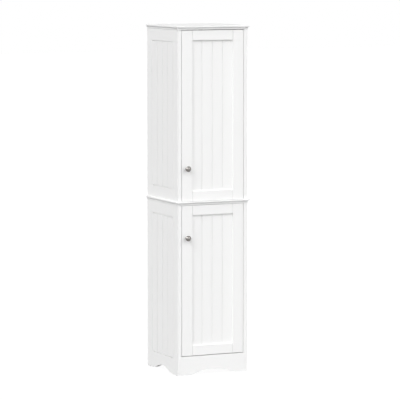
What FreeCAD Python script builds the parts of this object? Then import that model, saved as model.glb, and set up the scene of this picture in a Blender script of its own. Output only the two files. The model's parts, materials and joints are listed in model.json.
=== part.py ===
import FreeCAD, Part
import math
import os

# A tall, narrow bathroom cabinet: two boxes stacked on one another, each behind its own door, with a
# moulded board over each box and a pair of shaped feet below. Millimetres. +X is right, +Y is back and
# +Z is up. The origin is on the floor, in the middle of the outline, with the knobs counted in.

Vector = FreeCAD.Vector
RIGHTWARDS = Vector(1, 0, 0)
BACKWARDS = Vector(0, 1, 0)
UPWARDS = Vector(0, 0, 1)
DIAGONAL = math.sqrt(0.5)
OVERSHOOT = 1.0             # how far a cutter runs past the face that it opens
NEAR = 1e-6                 # two levels closer than this are the same

# ---- the whole cabinet ----
HEIGHT = 1524.0
BODY_WIDTH = 333.0          # over the outer faces of the sides
BODY_DEPTH = 328.0          # front edges of the sides to the wall
SIDE_THICKNESS = 17.0
SHELF_THICKNESS = 16.0
EDGE_ROUND = 0.5            # eased front edges of the painted pieces

# ---- moulded boards ----
BOARD_THICKNESS = 16.0
MID_BOARD_TOP = 764.0
BOARD_OVERHANG = 8.0        # the lip, beyond the body, in front and at both sides
BOARD_REVEAL = 2.0          # the plain band under the cove, beyond the body
LIP_HEIGHT = 6.0
LIP_ROUND = 1.5
LIP_STEP = 0.5              # flat under the lip, outside the cove

# ---- base ----
FLOOR_TO_DECK = 85.0        # top of the bottom shelf and of the apron
APRON_THICKNESS = 16.0
FRONT_FOOT = 50.0           # flat foot, measured from the body's outer face
FRONT_ARCH = 24.0           # crown of the arch over the floor
FRONT_INFLECTION = 0.25     # where the curve turns, as a share of the way to the crown
SIDE_FOOT = 47.0
SIDE_ARCH = 26.0
SIDE_INFLECTION = 0.45

# ---- routed lines of the sides ----
LINE_WIDTH = 2.6            # the upright lines
LINE_DEPTH = 2.6
LEVEL_LINE_WIDTH = 4.4      # the level lines over and under them
LEVEL_LINE_DEPTH = 5.0
LINE_MARGIN = 51.0          # front and back edges of a side to its outer upright lines
LINE_END_MARGIN = 54.0      # a board's face to the level line next to it
LINE_OVER_FLOOR = 75.3      # the lowest level line
UPRIGHT_LINES = 5

# ---- backs ----
BACK_THICKNESS = 3.0
REBATE_WIDTH = 8.0
BACK_PLAY = 0.5             # round the edges of each back

# ---- doors ----
DOOR_GAP = 2.2              # at both sides
DOOR_GAP_AT_MID_BOARD = 1.2
DOOR_GAP_AT_FAR_END = 2.8   # under the top board, and over the apron
DOOR_THICKNESS = 16.0
STILE_WIDTH = 50.0
RAIL_HEIGHT = 43.0
PANEL_RECESS = 6.5
PANEL_THICKNESS = 6.0
PANEL_HOLD = 7.0            # how far the panel reaches into its groove
PANEL_PLAY = 1.0            # room at the bottom of the groove
PLANKS = 4
PLANK_LINE_WIDTH = 1.8
PLANK_LINE_DEPTH = 1.8
JOINT_LINE_WIDTH = 1.2      # the shadow line where a rail meets a stile
JOINT_LINE_DEPTH = 2.5
OPEN_ANGLE = 95.0

# ---- knobs ----
KNOB_DIAMETER = 25.0
KNOB_PROJECTION = 24.0
KNOB_FOOT_DIAMETER = 14.0
KNOB_FOOT_HEIGHT = 1.5
KNOB_NECK_DIAMETER = 10.0
KNOB_NECK_HEIGHT = 6.5
KNOB_RIM_INSET = 1.4
KNOB_RIM_LOW = 13.5
KNOB_RIM_HIGH = 18.5
KNOB_FROM_EDGE = 24.0       # in from the door's free edge
KNOB_FROM_MID_BOARD = 142.0 # from the door's end beside the middle board
KNOB_SCREW_REACH = 10.0     # thread inside the knob

# ---- cup hinges ----
HINGE_FROM_END = 90.0       # hinge's middle to the door's end
PIN_FROM_EDGE = 16.0        # pivot, in from the door's hinged edge
PIN_DEPTH = 9.4             # pivot, in from the door's back face
PIN_RADIUS = 1.5
PIN_PLAY = 0.05             # between the pin and the arm's eye
EYE_WALL = 1.0
CUP_RADIUS = 17.5
CUP_FROM_EDGE = 4.0         # wood left between the cup's bore and the door's edge
CUP_DEPTH = 4.0             # underside of the cup's floor, in front of the pivot
CUP_WALL = 0.8
FLANGE_THICKNESS = 1.0
FLANGE_RIM = 1.5            # the round flange, beyond the bore
FLANGE_EAR = 5.5            # radius of the ends that take the screws
CUP_SCREW_SPREAD = 48.0
ARM_THICKNESS = 2.0
TONGUE_WIDTH = 6.0
ARM_WIDTH = 14.0
ARM_REACH = 58.0            # back end of the arm, behind the pivot
ARM_BEND = 5.0              # bend that turns the arm along the side
NECK_BEND = 4.0             # bend just outside the cup
SWEEP_CLEARANCE = 1.2       # between the door's turning corner and the arm
PLATE_THICKNESS = 2.0
PLATE_FRONT = 30.0          # plate's front and back ends, behind the pivot
PLATE_BACK = 66.0
PLATE_BAR = 16.0
PLATE_CROSS = 14.0
PLATE_HEIGHT = 46.0
PLATE_SCREW_SPREAD = 32.0
PLATE_SCREW_BEHIND = 46.5   # screws behind the pivot
ARM_SCREW_BEHIND = 53.0

# ---- magnetic catches ----
CATCH_FROM_MID_BOARD = 71.0 # from the door's end beside the middle board
CATCH_WIDTH = 18.0
CATCH_DEPTH = 14.0
CATCH_HEIGHT = 26.0
CATCH_EAR = 10.0
CATCH_EAR_THICKNESS = 3.0
CATCH_GAP = 0.4             # magnet to the strike, door shut
MAGNET_WIDTH = 10.0
MAGNET_HEIGHT = 18.0
MAGNET_DEPTH = 10.0
POLE_THICKNESS = 2.5
POLE_PROUD = 1.0
STRIKE_THICKNESS = 1.6
STRIKE_WIDTH = 12.0
STRIKE_HEIGHT = 30.0
PRONG_RADIUS = 1.2
PRONG_LENGTH = 5.0
PRONG_SPREAD = 18.0

# ---- screws, all pan headed ----
SCREW_RADIUS = 1.75
SCREW_HEAD_RADIUS = 3.4
SCREW_HEAD_HEIGHT = 2.0
SCREW_LENGTH = 12.0
SCREW_PLAY = 0.1            # round the thread in a metal plate or the arm

# ---- cams, bolts and dowels ----
CAM_RADIUS = 7.5
CAM_BORE_DEPTH = 4.0        # bottom of the cam's bore, past the bolt's axis
CAM_SUNK = 0.5              # face of the cam below the wood
CAM_FROM_END = 24.0         # middle of the cam to the joint
CAM_SLOT = 4.05             # radius of the cam's bolt opening, and of the bolt's bore
BOLT_RADIUS = 3.0
BOLT_THREAD = 10.5
BOLT_NECK_RADIUS = 2.0
BOLT_NECK = 5.0
BOLT_HEAD_RADIUS = 3.4
BOLT_HEAD = 2.5
DOWEL_RADIUS = 4.0
DOWEL_IN_FACE = 10.0        # shorter half, in a board's face
DOWEL_IN_END = 20.0         # longer half, in a board's end
DOWEL_PLAY = 0.5            # at each end of a dowel's hole
CAM_FROM_EDGES = 40.0       # cams, in from the front and back edges of a side
DOWEL_FROM_CAM = 32.0
JOINT_STAGGER = 16.0        # upper joints of the middle board, away from its lower ones
APRON_DOWEL_LOW = 32.0
APRON_DOWEL_HIGH = 62.0
DECK_DOWEL_SPREAD = 180.0   # the two dowels between apron and bottom shelf

# ---- adjustable shelves ----
UPPER_SHELVES = 2
LOWER_SHELVES = 1
SHELF_SETBACK = 32.0        # clears the hinges and the turning doors
SHELF_END_PLAY = 1.5
SHELF_BACK_PLAY = 2.0
PEG_RADIUS = 2.5
PEG_IN_SIDE = 8.0
PEG_UNDER_SHELF = 9.0
PEG_COLLAR_RADIUS = 4.0
PEG_COLLAR = 1.0
PEG_FROM_SHELF_EDGE = 36.0
PEG_PITCH = 32.0
PEG_STEPS = 2               # spare holes above and below each peg

# ---- nails, glides and wall brackets ----
NAIL_RADIUS = 0.8
NAIL_LENGTH = 16.0
NAIL_HEAD_RADIUS = 2.0
NAIL_HEAD = 1.0
NAIL_PITCH = 120.0
NAIL_END_MARGIN = 20.0
GLIDE_THICKNESS = 2.0
GLIDE_RADIUS = 7.5
GLIDE_NAIL_RADIUS = 1.0
GLIDE_NAIL_LENGTH = 14.0
GLIDE_FROM_EDGE = 20.0
BRACKET_SPREAD = 180.0      # between the two wall fixing holes
BRACKET_WIDTH = 20.0
BRACKET_THICKNESS = 2.0
BRACKET_LEG = 34.0
BRACKET_HOLE_FROM_TOP = 22.0
WALL_HOLE_RADIUS = 2.75

# ---- planes and levels that follow ----
FRONT = (max(KNOB_PROJECTION, BOARD_OVERHANG) - BODY_DEPTH) / 2
BACK = FRONT + BODY_DEPTH
OUTER = BODY_WIDTH / 2
INNER = OUTER - SIDE_THICKNESS
REBATE_DEPTH = BACK_THICKNESS + NAIL_HEAD
BACK_FACE = BACK - REBATE_DEPTH                 # inner face of the backs
TOP_BOARD_LOW = HEIGHT - BOARD_THICKNESS
MID_BOARD_LOW = MID_BOARD_TOP - BOARD_THICKNESS
DECK_LOW = FLOOR_TO_DECK - SHELF_THICKNESS
DOOR_EDGE = INNER - DOOR_GAP
DOOR_BACK = FRONT + DOOR_THICKNESS
PANEL_FACE = FRONT + PANEL_RECESS
GROOVE_DEPTH = PANEL_HOLD + PANEL_PLAY
PIVOT = Vector(DOOR_EDGE - PIN_FROM_EDGE, DOOR_BACK - PIN_DEPTH, 0)
SHELF_FRONT = FRONT + SHELF_SETBACK
SHELF_BACK = BACK_FACE - SHELF_BACK_PLAY

SECTIONS = {                                    # clear height of each box, and of its doorway
    "upper": (MID_BOARD_TOP, TOP_BOARD_LOW),
    "lower": (FLOOR_TO_DECK, MID_BOARD_LOW),
}

bores = {}                                      # what is cut out of each piece, by its name
pieces = {}                                     # finished solids of each node, by its name


def drill(name, *cutters):
    """Keeps cutters for the piece of this name."""
    bores.setdefault(name, []).extend(cutters)


def add(name, *solids):
    """Puts solids into the node of this name, cut by what was drilled."""
    cutters = bores.get(name, [])
    for solid in solids:
        shape = solid.cut(cutters) if cutters else solid
        pieces.setdefault(name, []).append(shape.removeSplitter())


def box(x, y, z):
    """A block between the low and high value of each axis."""
    return Part.makeBox(x[1] - x[0], y[1] - y[0], z[1] - z[0], Vector(x[0], y[0], z[0]))


def rod(start, direction, radius, length):
    """A cylinder that starts at a point and runs along a direction."""
    return Part.makeCylinder(radius, length, start, direction)


def outline(place, steps):
    """A face in a plane. A step is the next corner, or an arc's through point and its end."""
    edges = []
    here = steps[0]
    for step in steps[1:] + steps[:1]:
        if isinstance(step[0], tuple):
            through, there = step
            edges.append(Part.Arc(place(*here), place(*through), place(*there)).toShape())
        else:
            there = step
            edges.append(Part.LineSegment(place(*here), place(*there)).toShape())
        here = there
    return Part.Face(Part.Wire(edges))


def in_front_plane(y):
    """Places (x, z) in the upright plane at y."""
    return lambda x, z: Vector(x, y, z)


def in_side_plane(x):
    """Places (y, z) in the upright plane at x."""
    return lambda y, z: Vector(x, y, z)


def front_edges(shape, plane):
    """The edges of a shape that lie in the upright plane at its front."""
    return [edge for edge in shape.Edges
            if all(abs(vertex.Point.y - plane) < NEAR for vertex in edge.Vertexes)]


def is_upright(edge):
    """Whether an edge climbs from one of its ends to the other."""
    return abs(edge.Vertexes[0].Point.z - edge.Vertexes[-1].Point.z) > NEAR


def ease_front(shape, plane):
    """Rounds the edges of a block that lie in its front plane."""
    return shape.makeFillet(EDGE_ROUND, front_edges(shape, plane))


def mirrored(shape):
    """The same shape on the other side of the cabinet."""
    return shape.mirror(Vector(0, 0, 0), RIGHTWARDS)


def on_side(side, shape):
    """A shape made for the right side, put on the left or right."""
    return shape if side == "right" else mirrored(shape)


def screw(seat, inwards, length=SCREW_LENGTH):
    """A pan-headed screw, its head standing on the seat and its thread running inwards."""
    head = rod(seat - inwards * SCREW_HEAD_HEIGHT, inwards, SCREW_HEAD_RADIUS, SCREW_HEAD_HEIGHT)
    rim = [edge for edge in head.Edges
           if len(edge.Vertexes) == 1 and (edge.CenterOfMass - seat).Length > SCREW_HEAD_HEIGHT / 2]
    head = head.makeFillet(SCREW_HEAD_HEIGHT / 2, rim)
    return head.fuse(rod(seat, inwards, SCREW_RADIUS, length)).removeSplitter()


# ---- joints between boards ----

def cam_joint(board, panel, meet, into_panel, to_face, face_distance):
    """A bolt standing in a board's face, and the cam that draws a panel's end onto it."""
    centre = meet + into_panel * CAM_FROM_END
    mouth = centre + to_face * face_distance
    shank = CAM_FROM_END - BOLT_NECK
    bolt = rod(meet - into_panel * BOLT_THREAD, into_panel, BOLT_RADIUS, BOLT_THREAD + shank)
    bolt = bolt.fuse([
        rod(meet + into_panel * shank, into_panel, BOLT_NECK_RADIUS, BOLT_NECK),
        rod(centre - into_panel * BOLT_HEAD / 2, into_panel, BOLT_HEAD_RADIUS, BOLT_HEAD)])
    opening = rod(meet, into_panel, CAM_SLOT, CAM_FROM_END + BOLT_HEAD)
    depth = face_distance + CAM_BORE_DEPTH
    cam = rod(mouth - to_face * CAM_SUNK, -to_face, CAM_RADIUS, depth - CAM_SUNK)
    add("cam_bolts", bolt)
    add("cam_locks", cam.cut(opening))
    drill(board, rod(meet - into_panel * BOLT_THREAD, into_panel, BOLT_RADIUS, BOLT_THREAD))
    drill(panel, rod(meet, into_panel, CAM_SLOT, CAM_FROM_END),
          rod(mouth + to_face * OVERSHOOT, -to_face, CAM_RADIUS, depth + OVERSHOOT))


def dowel_joint(board, panel, meet, into_panel):
    """A dowel, its short half in a board's face and its long half in a panel's end."""
    length = DOWEL_IN_FACE + DOWEL_IN_END
    add("dowels", rod(meet - into_panel * DOWEL_IN_FACE, into_panel, DOWEL_RADIUS, length))
    drill(board, rod(meet, -into_panel, DOWEL_RADIUS, DOWEL_IN_FACE + DOWEL_PLAY))
    drill(panel, rod(meet, into_panel, DOWEL_RADIUS, DOWEL_IN_END + DOWEL_PLAY))


def join_side_to_board(side, section, board, level, into_panel, shift):
    """Two cams and two dowels between a side's end and the board that it meets at a level."""
    out = 1 if side == "right" else -1
    panel = f"{section}_{side}_side"
    middle = out * (OUTER + INNER) / 2
    for edge, inwards in ((FRONT, 1), (BACK, -1)):
        cam_y = edge + inwards * (CAM_FROM_EDGES + shift)
        dowel_y = cam_y + inwards * DOWEL_FROM_CAM
        cam_joint(board, panel, Vector(middle, cam_y, level), into_panel, RIGHTWARDS * -out,
                  SIDE_THICKNESS / 2)
        dowel_joint(board, panel, Vector(middle, dowel_y, level), into_panel)


def join_deck_to_side(side):
    """Two cams under the bottom shelf and two dowels, at one of its ends."""
    out = 1 if side == "right" else -1
    into_deck = RIGHTWARDS * -out
    level = (DECK_LOW + FLOOR_TO_DECK) / 2
    for edge, inwards in ((FRONT, 1), (BACK, -1)):
        cam_y = edge + inwards * CAM_FROM_EDGES
        meet = Vector(out * INNER, cam_y, level)
        cam_joint(f"lower_{side}_side", "bottom_shelf", meet, into_deck, -UPWARDS, SHELF_THICKNESS / 2)
        meet = Vector(out * INNER, cam_y + inwards * DOWEL_FROM_CAM, level)
        dowel_joint(f"lower_{side}_side", "bottom_shelf", meet, into_deck)


def join_apron():
    """Dowels from the apron into both sides, and from the bottom shelf into the apron."""
    middle = FRONT + APRON_THICKNESS / 2
    for side, out in (("right", 1), ("left", -1)):
        for level in (APRON_DOWEL_LOW, APRON_DOWEL_HIGH):
            meet = Vector(out * INNER, middle, level)
            dowel_joint(f"lower_{side}_side", "front_apron", meet, RIGHTWARDS * -out)
        meet = Vector(out * DECK_DOWEL_SPREAD / 2, FRONT + APRON_THICKNESS, (DECK_LOW + FLOOR_TO_DECK) / 2)
        dowel_joint("front_apron", "bottom_shelf", meet, BACKWARDS)


# ---- carcass ----

def moulding_cutter(place, edge, out, low, high):
    """The section that a moulded edge loses: a cove under a lip with a rounded top corner."""
    cove = BOARD_OVERHANG - LIP_STEP - BOARD_REVEAL
    lip_low = high - LIP_HEIGHT
    corner = LIP_ROUND * (1 - DIAGONAL)

    def at(reach, level):
        return (edge + out * reach, level)

    return outline(place, [
        at(BOARD_REVEAL, low - OVERSHOOT),
        at(BOARD_REVEAL, lip_low - cove),
        (at(BOARD_REVEAL + cove * (1 - DIAGONAL), lip_low - cove * (1 - DIAGONAL)),
         at(BOARD_REVEAL + cove, lip_low)),
        at(BOARD_OVERHANG, lip_low),
        at(BOARD_OVERHANG, high - LIP_ROUND),
        (at(BOARD_OVERHANG - corner, high - corner), at(BOARD_OVERHANG - LIP_ROUND, high)),
        at(BOARD_OVERHANG - LIP_ROUND, high + OVERSHOOT),
        at(BOARD_OVERHANG + OVERSHOOT, high + OVERSHOOT),
        at(BOARD_OVERHANG + OVERSHOOT, low - OVERSHOOT),
    ])


def moulded_board(high):
    """A board with its moulding along the front and both sides, and a plain back edge."""
    low = high - BOARD_THICKNESS
    reach = OUTER + BOARD_OVERHANG
    slab = box((-reach, reach), (FRONT - BOARD_OVERHANG, BACK), (low, high))
    length = 2 * (reach + OVERSHOOT)
    depth = BODY_DEPTH + BOARD_OVERHANG + 2 * OVERSHOOT
    front = moulding_cutter(in_side_plane(-length / 2), FRONT, -1, low, high).extrude(RIGHTWARDS * length)
    start = in_front_plane(FRONT - BOARD_OVERHANG - OVERSHOOT)
    sides = [moulding_cutter(start, out * OUTER, out, low, high).extrude(BACKWARDS * depth)
             for out in (1, -1)]
    return slab.cut([front] + sides)


def arch(foot_ends, foot_level, crown_level, inflection):
    """Steps along the lower edge between two feet: an S-curve up, a round crown and an S-curve down."""
    left, right = foot_ends
    half = (right - left) / 2
    rise = crown_level - foot_level
    turn = 2 * math.atan2(rise, half)
    low_radius = inflection * math.hypot(half, rise) / (2 * math.sin(turn / 2))
    in_along = inflection * half
    in_level = foot_level + inflection * rise
    mid_along = low_radius * math.sin(turn / 2)
    mid_level = foot_level + low_radius * (1 - math.cos(turn / 2))
    return [
        (left, foot_level),
        ((left + mid_along, mid_level), (left + in_along, in_level)),
        ((left + half, crown_level), (right - in_along, in_level)),
        ((right - mid_along, mid_level), (right, foot_level)),
    ]


def upright_line(x, y, z_range, width, depth, into):
    """A cutter for a narrow slot along a vertical line on a face. The slot goes down towards into."""
    across = into.cross(UPWARDS) * width / 2
    start = Vector(x, y, z_range[0])
    above, below = start - into * OVERSHOOT, start + into * depth
    corners = [above + across, below + across, below - across, above - across]
    section = Part.Face(Part.makePolygon(corners + corners[:1]))
    return section.extrude(UPWARDS * (z_range[1] - z_range[0]))


def level_line(y_range, z):
    """A cutter for a level slot across the routed field on the right side's outer face."""
    half = LEVEL_LINE_WIDTH / 2
    return box((OUTER - LEVEL_LINE_DEPTH, OUTER + OVERSHOOT),
               (y_range[0] - LINE_WIDTH / 2, y_range[1] + LINE_WIDTH / 2), (z - half, z + half))


def routed_lines(section):
    """Cutters for the routed field on the right side's outer face: its upright and its level lines."""
    low, high = SECTIONS[section]
    bottom = low + LINE_END_MARGIN if section == "upper" else LINE_OVER_FLOOR
    z_range = (bottom, high - LINE_END_MARGIN)
    y_range = (FRONT + LINE_MARGIN, BACK - LINE_MARGIN)
    pitch = (y_range[1] - y_range[0]) / (UPRIGHT_LINES - 1)
    uprights = [
        upright_line(OUTER, y_range[0] + number * pitch, z_range, LINE_WIDTH, LINE_DEPTH, -RIGHTWARDS)
        for number in range(UPRIGHT_LINES)]
    return uprights + [level_line(y_range, z) for z in z_range]


def side_panel(section, side):
    """A side of the upper or lower box, with its rebate, routed field and, if it's low, its feet."""
    if section == "upper":
        low, high = SECTIONS[section]
        feet = [(FRONT, low), (BACK, low)]
    else:
        low, high = GLIDE_THICKNESS, MID_BOARD_LOW
        foot_ends = (FRONT + SIDE_FOOT, BACK - SIDE_FOOT)
        feet = [(FRONT, low)] + arch(foot_ends, low, SIDE_ARCH, SIDE_INFLECTION) + [(BACK, low)]
    panel = outline(in_side_plane(INNER), feet + [(BACK, high), (FRONT, high)])
    panel = panel.extrude(RIGHTWARDS * SIDE_THICKNESS)
    panel = panel.makeFillet(EDGE_ROUND, list(filter(is_upright, front_edges(panel, FRONT))))
    rebate = box((INNER - OVERSHOOT, INNER + REBATE_WIDTH), (BACK_FACE, BACK + OVERSHOOT),
                 (low - OVERSHOOT, high + OVERSHOOT))
    return on_side(side, panel.cut([rebate] + routed_lines(section)))


def front_apron():
    """The board between the front feet, with the arch in its lower edge."""
    low = GLIDE_THICKNESS
    foot_end = OUTER - FRONT_FOOT
    steps = [(-INNER, low)] + arch((-foot_end, foot_end), low, FRONT_ARCH, FRONT_INFLECTION)
    steps += [(INNER, low), (INNER, FLOOR_TO_DECK), (-INNER, FLOOR_TO_DECK)]
    return outline(in_front_plane(FRONT), steps).extrude(BACKWARDS * APRON_THICKNESS)


def back_panel(section):
    """A thin back, held in the rebates of its two sides."""
    low, high = SECTIONS[section]
    low = low + BACK_PLAY if section == "upper" else DECK_LOW
    reach = INNER + REBATE_WIDTH - BACK_PLAY
    return box((-reach, reach), (BACK_FACE, BACK_FACE + BACK_THICKNESS), (low, high - BACK_PLAY))


def nail_backs(section):
    """Nails through the edges of a back into its sides and, below, into the bottom shelf."""
    low, high = SECTIONS[section]
    low = low if section == "upper" else DECK_LOW
    run = high - low - 2 * NAIL_END_MARGIN
    count = math.ceil(run / NAIL_PITCH) + 1
    places = []
    for number in range(count):
        level = low + NAIL_END_MARGIN + number * run / (count - 1)
        for side, out in (("right", 1), ("left", -1)):
            places.append((f"{section}_{side}_side", out * (INNER + REBATE_WIDTH / 2), level))
    if section == "lower":
        for x in (-DECK_DOWEL_SPREAD / 2, 0, DECK_DOWEL_SPREAD / 2):
            places.append(("bottom_shelf", x, (DECK_LOW + FLOOR_TO_DECK) / 2))
    for piece, x, level in places:
        seat = Vector(x, BACK_FACE + BACK_THICKNESS, level)
        shank = rod(seat, -BACKWARDS, NAIL_RADIUS, NAIL_LENGTH)
        drill(piece, shank)
        drill(f"{section}_back_panel", shank)
        head = rod(seat, BACKWARDS, NAIL_HEAD_RADIUS, NAIL_HEAD)
        add("back_panel_nails", shank.fuse(head).removeSplitter())


def foot_glides():
    """A nailed glide under each foot of the two sides."""
    for side, out in (("right", 1), ("left", -1)):
        for y in (FRONT + GLIDE_FROM_EDGE, BACK - GLIDE_FROM_EDGE):
            under = Vector(out * (OUTER + INNER) / 2, y, 0)
            seat = under + UPWARDS * GLIDE_THICKNESS
            nail = rod(seat, UPWARDS, GLIDE_NAIL_RADIUS, GLIDE_NAIL_LENGTH)
            drill(f"lower_{side}_side", nail)
            pad = rod(under, UPWARDS, GLIDE_RADIUS, GLIDE_THICKNESS)
            add("foot_glides", pad.fuse(nail).removeSplitter())


def wall_brackets():
    """Two angle brackets under the top board, each with a hole through to the wall."""
    top = TOP_BOARD_LOW
    for x in (-BRACKET_SPREAD / 2, BRACKET_SPREAD / 2):
        across = (x - BRACKET_WIDTH / 2, x + BRACKET_WIDTH / 2)
        level_leg = box(across, (BACK_FACE - BRACKET_LEG, BACK_FACE), (top - BRACKET_THICKNESS, top))
        upright_leg = box(across, (BACK_FACE - BRACKET_THICKNESS, BACK_FACE), (top - BRACKET_LEG, top))
        seat = Vector(x, BACK_FACE - BRACKET_LEG / 2, top - BRACKET_THICKNESS)
        hole_start = Vector(x, BACK_FACE - BRACKET_THICKNESS - OVERSHOOT, top - BRACKET_HOLE_FROM_TOP)
        wall_hole = rod(hole_start, BACKWARDS, WALL_HOLE_RADIUS,
                        BRACKET_THICKNESS + REBATE_DEPTH + 2 * OVERSHOOT)
        screw_hole = rod(seat, UPWARDS, SCREW_RADIUS + SCREW_PLAY, BRACKET_THICKNESS)
        add("wall_brackets", level_leg.fuse(upright_leg).cut([wall_hole, screw_hole]))
        add("bracket_screws", screw(seat, UPWARDS))
        drill("top_board", rod(seat, UPWARDS, SCREW_RADIUS, SCREW_LENGTH))
        drill("upper_back_panel", wall_hole)


# ---- adjustable shelves ----

def shelf_levels(section, count):
    """Undersides of the shelves that part a box's clear height evenly."""
    low, high = SECTIONS[section]
    space = (high - low - count * SHELF_THICKNESS) / (count + 1)
    return [low + space + number * (space + SHELF_THICKNESS) for number in range(count)]


def adjustable_shelf(name, section, level):
    """A loose shelf on four pegs, and the rows of spare peg holes above and below them."""
    end = INNER - SHELF_END_PLAY
    add(name, ease_front(box((-end, end), (SHELF_FRONT, SHELF_BACK), (level, level + SHELF_THICKNESS)),
                         SHELF_FRONT))
    peg_level = level - PEG_RADIUS
    for side, out in (("right", 1), ("left", -1)):
        inwards = RIGHTWARDS * -out
        for y in (SHELF_FRONT + PEG_FROM_SHELF_EDGE, SHELF_BACK - PEG_FROM_SHELF_EDGE):
            mouth = Vector(out * INNER, y, peg_level)
            peg = rod(mouth - inwards * PEG_IN_SIDE, inwards, PEG_RADIUS, PEG_IN_SIDE + PEG_UNDER_SHELF)
            collar = rod(mouth, inwards, PEG_COLLAR_RADIUS, PEG_COLLAR)
            add("shelf_pegs", peg.fuse(collar).removeSplitter())
            for step in range(-PEG_STEPS, PEG_STEPS + 1):
                hole = rod(mouth + UPWARDS * step * PEG_PITCH, -inwards, PEG_RADIUS, PEG_IN_SIDE)
                drill(f"{section}_{side}_side", hole)


# ---- doors ----

def stile(door, side, z_range):
    """An upright of a door's frame, grooved along its inner edge."""
    inner_edge = DOOR_EDGE - STILE_WIDTH
    upright = box((inner_edge, DOOR_EDGE), (FRONT, DOOR_BACK), z_range)
    groove = box((inner_edge - OVERSHOOT, inner_edge + GROOVE_DEPTH),
                 (PANEL_FACE, PANEL_FACE + PANEL_THICKNESS),
                 (z_range[0] - OVERSHOOT, z_range[1] + OVERSHOOT))
    add(f"{door}_{side}_stile", on_side(side, ease_front(upright, FRONT).cut(groove)))


def rail(door, end, z_range):
    """A crosspiece of a door's frame, with a tongue at each end in the groove of a stile."""
    length = DOOR_EDGE - STILE_WIDTH
    tongue = length + GROOVE_DEPTH
    thickness = (PANEL_FACE, PANEL_FACE + PANEL_THICKNESS)
    line = box((length - JOINT_LINE_WIDTH, length + OVERSHOOT),
               (FRONT - OVERSHOOT, FRONT + JOINT_LINE_DEPTH),
               (z_range[0] - OVERSHOOT, z_range[1] + OVERSHOOT))
    bar = box((-length, length), (FRONT, DOOR_BACK), z_range).cut([line, mirrored(line)])
    bar = ease_front(bar, FRONT)
    if end == "top":
        groove_levels = (z_range[0] - OVERSHOOT, z_range[0] + GROOVE_DEPTH)
    else:
        groove_levels = (z_range[1] - GROOVE_DEPTH, z_range[1] + OVERSHOOT)
    groove = box((-tongue - OVERSHOOT, tongue + OVERSHOOT), thickness, groove_levels)
    add(f"{door}_{end}_rail", bar.fuse(box((-tongue, tongue), thickness, z_range)).cut(groove))


def planked_panel(door, z_range):
    """A door's thin panel, scored on its face so that it looks like upright planks."""
    opening = DOOR_EDGE - STILE_WIDTH
    reach = opening + PANEL_HOLD
    levels = (z_range[0] + RAIL_HEIGHT - PANEL_HOLD, z_range[1] - RAIL_HEIGHT + PANEL_HOLD)
    panel = box((-reach, reach), (PANEL_FACE, PANEL_FACE + PANEL_THICKNESS), levels)
    pitch = 2 * opening / PLANKS
    scored = (levels[0] - OVERSHOOT, levels[1] + OVERSHOOT)
    lines = [upright_line(number * pitch - opening, PANEL_FACE, scored, PLANK_LINE_WIDTH, PLANK_LINE_DEPTH,
                          BACKWARDS) for number in range(1, PLANKS)]
    add(f"{door}_panel", panel.cut(lines))


def knob(door, centre):
    """A round knob and the screw that holds it from inside the door."""
    rim = KNOB_DIAMETER / 2
    crown_base = rim - KNOB_RIM_INSET
    crown = KNOB_PROJECTION - KNOB_RIM_HIGH
    crown_turn = math.atan2(crown, crown_base)
    crown_radius = crown_base / math.sin(2 * crown_turn)
    section = outline(lambda radius, reach: Vector(radius, -reach, 0), [
        (0, 0),
        (KNOB_FOOT_DIAMETER / 2, 0),
        (KNOB_FOOT_DIAMETER / 2, KNOB_FOOT_HEIGHT),
        ((KNOB_NECK_DIAMETER / 2, KNOB_NECK_HEIGHT), (crown_base, KNOB_RIM_LOW)),
        ((rim, (KNOB_RIM_LOW + KNOB_RIM_HIGH) / 2), (crown_base, KNOB_RIM_HIGH)),
        ((crown_radius * math.sin(crown_turn),
          KNOB_PROJECTION - crown_radius * (1 - math.cos(crown_turn))), (0, KNOB_PROJECTION)),
    ])
    turned = section.revolve(Vector(0, 0, 0), BACKWARDS, 360)
    turned.translate(centre)
    thread = KNOB_SCREW_REACH + DOOR_THICKNESS
    seat = centre + BACKWARDS * DOOR_THICKNESS
    drill(f"{door}_knob", rod(centre, -BACKWARDS, SCREW_RADIUS, KNOB_SCREW_REACH))
    drill(f"{door}_left_stile", rod(seat, -BACKWARDS, SCREW_RADIUS + SCREW_PLAY, DOOR_THICKNESS))
    add(f"{door}_knob", turned)
    add(f"{door}_knob_screw", screw(seat, -BACKWARDS, thread))


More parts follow.
